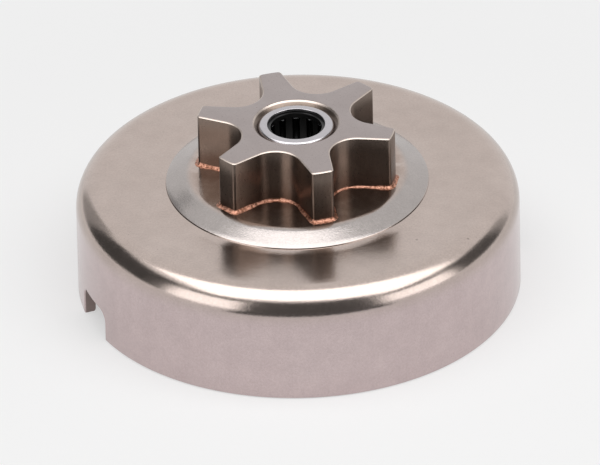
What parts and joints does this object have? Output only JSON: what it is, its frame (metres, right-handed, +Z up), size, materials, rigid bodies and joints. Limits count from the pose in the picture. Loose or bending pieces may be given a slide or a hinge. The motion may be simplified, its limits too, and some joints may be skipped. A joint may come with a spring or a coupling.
{
  "type": "chainsaw clutch drum with spur sprocket",
  "caption": "Drawn steel clutch drum of a chainsaw, mouth down, with a spur sprocket copper-brazed on top and a needle bearing pressed in its bore.",
  "frame": {"origin": "centre of the drum's rim plane, on which the part rests mouth down", "axes": "+Z up along the bore, from the drum's rim towards the sprocket; the rim's notches lie 21.1 degrees from -X towards -Y and opposite"},
  "size_m": [0.07, 0.07, 0.0293],
  "materials": {
    "drum_steel": "satin, warm grey",
    "sprocket_steel": "satin, heat-browned on the flanks",
    "copper_braze": "beaded copper braze",
    "bearing_steel": "fine satin",
    "cage_plastic": "oiled black",
    "roller_steel": "ground, oiled"
  },
  "bodies": {
    "drum": {"clutch_drum": "drum_steel", "sprocket": "sprocket_steel", "braze_fillet": "copper_braze", "bearing_cup": "bearing_steel"},
    "cage": {"needle_cage": "cage_plastic"},
    "roller_01": {"needle_01": "roller_steel"},
    "roller_02": {"needle_02": "roller_steel"},
    "roller_03": {"needle_03": "roller_steel"},
    "roller_04": {"needle_04": "roller_steel"},
    "roller_05": {"needle_05": "roller_steel"},
    "roller_06": {"needle_06": "roller_steel"},
    "roller_07": {"needle_07": "roller_steel"},
    "roller_08": {"needle_08": "roller_steel"},
    "roller_09": {"needle_09": "roller_steel"},
    "roller_10": {"needle_10": "roller_steel"},
    "roller_11": {"needle_11": "roller_steel"},
    "roller_12": {"needle_12": "roller_steel"}
  },
  "joints": [
    {"name": "cage_turn", "type": "hinge", "parent": "drum", "child": "cage", "pos_m": [0, 0, 0.02403], "axis": [0, 0, 1], "continuous": true},
    {"name": "roller_01_turn", "type": "hinge", "parent": "cage", "child": "roller_01", "pos_m": [0.00477, 0, 0.02403], "axis": [0, 0, 1], "continuous": true},
    {"name": "roller_02_turn", "type": "hinge", "parent": "cage", "child": "roller_02", "pos_m": [0.00413, 0.00238, 0.02403], "axis": [0, 0, 1], "continuous": true},
    {"name": "roller_03_turn", "type": "hinge", "parent": "cage", "child": "roller_03", "pos_m": [0.00238, 0.00413, 0.02403], "axis": [0, 0, 1], "continuous": true},
    {"name": "roller_04_turn", "type": "hinge", "parent": "cage", "child": "roller_04", "pos_m": [0, 0.00477, 0.02403], "axis": [0, 0, 1], "continuous": true},
    {"name": "roller_05_turn", "type": "hinge", "parent": "cage", "child": "roller_05", "pos_m": [-0.00238, 0.00413, 0.02403], "axis": [0, 0, 1], "continuous": true},
    {"name": "roller_06_turn", "type": "hinge", "parent": "cage", "child": "roller_06", "pos_m": [-0.00413, 0.00238, 0.02403], "axis": [0, 0, 1], "continuous": true},
    {"name": "roller_07_turn", "type": "hinge", "parent": "cage", "child": "roller_07", "pos_m": [-0.00477, 0, 0.02403], "axis": [0, 0, 1], "continuous": true},
    {"name": "roller_08_turn", "type": "hinge", "parent": "cage", "child": "roller_08", "pos_m": [-0.00413, -0.00238, 0.02403], "axis": [0, 0, 1], "continuous": true},
    {"name": "roller_09_turn", "type": "hinge", "parent": "cage", "child": "roller_09", "pos_m": [-0.00238, -0.00413, 0.02403], "axis": [0, 0, 1], "continuous": true},
    {"name": "roller_10_turn", "type": "hinge", "parent": "cage", "child": "roller_10", "pos_m": [0, -0.00477, 0.02403], "axis": [0, 0, 1], "continuous": true},
    {"name": "roller_11_turn", "type": "hinge", "parent": "cage", "child": "roller_11", "pos_m": [0.00238, -0.00413, 0.02403], "axis": [0, 0, 1], "continuous": true},
    {"name": "roller_12_turn", "type": "hinge", "parent": "cage", "child": "roller_12", "pos_m": [0.00413, -0.00238, 0.02403], "axis": [0, 0, 1], "continuous": true}
  ],
  "couplings": [
    {"joint": "roller_01_turn", "follows": "cage_turn", "ratio": -7.3733},
    {"joint": "roller_02_turn", "follows": "cage_turn", "ratio": -7.3733},
    {"joint": "roller_03_turn", "follows": "cage_turn", "ratio": -7.3733},
    {"joint": "roller_04_turn", "follows": "cage_turn", "ratio": -7.3733},
    {"joint": "roller_05_turn", "follows": "cage_turn", "ratio": -7.3733},
    {"joint": "roller_06_turn", "follows": "cage_turn", "ratio": -7.3733},
    {"joint": "roller_07_turn", "follows": "cage_turn", "ratio": -7.3733},
    {"joint": "roller_08_turn", "follows": "cage_turn", "ratio": -7.3733},
    {"joint": "roller_09_turn", "follows": "cage_turn", "ratio": -7.3733},
    {"joint": "roller_10_turn", "follows": "cage_turn", "ratio": -7.3733},
    {"joint": "roller_11_turn", "follows": "cage_turn", "ratio": -7.3733},
    {"joint": "roller_12_turn", "follows": "cage_turn", "ratio": -7.3733}
  ]
}
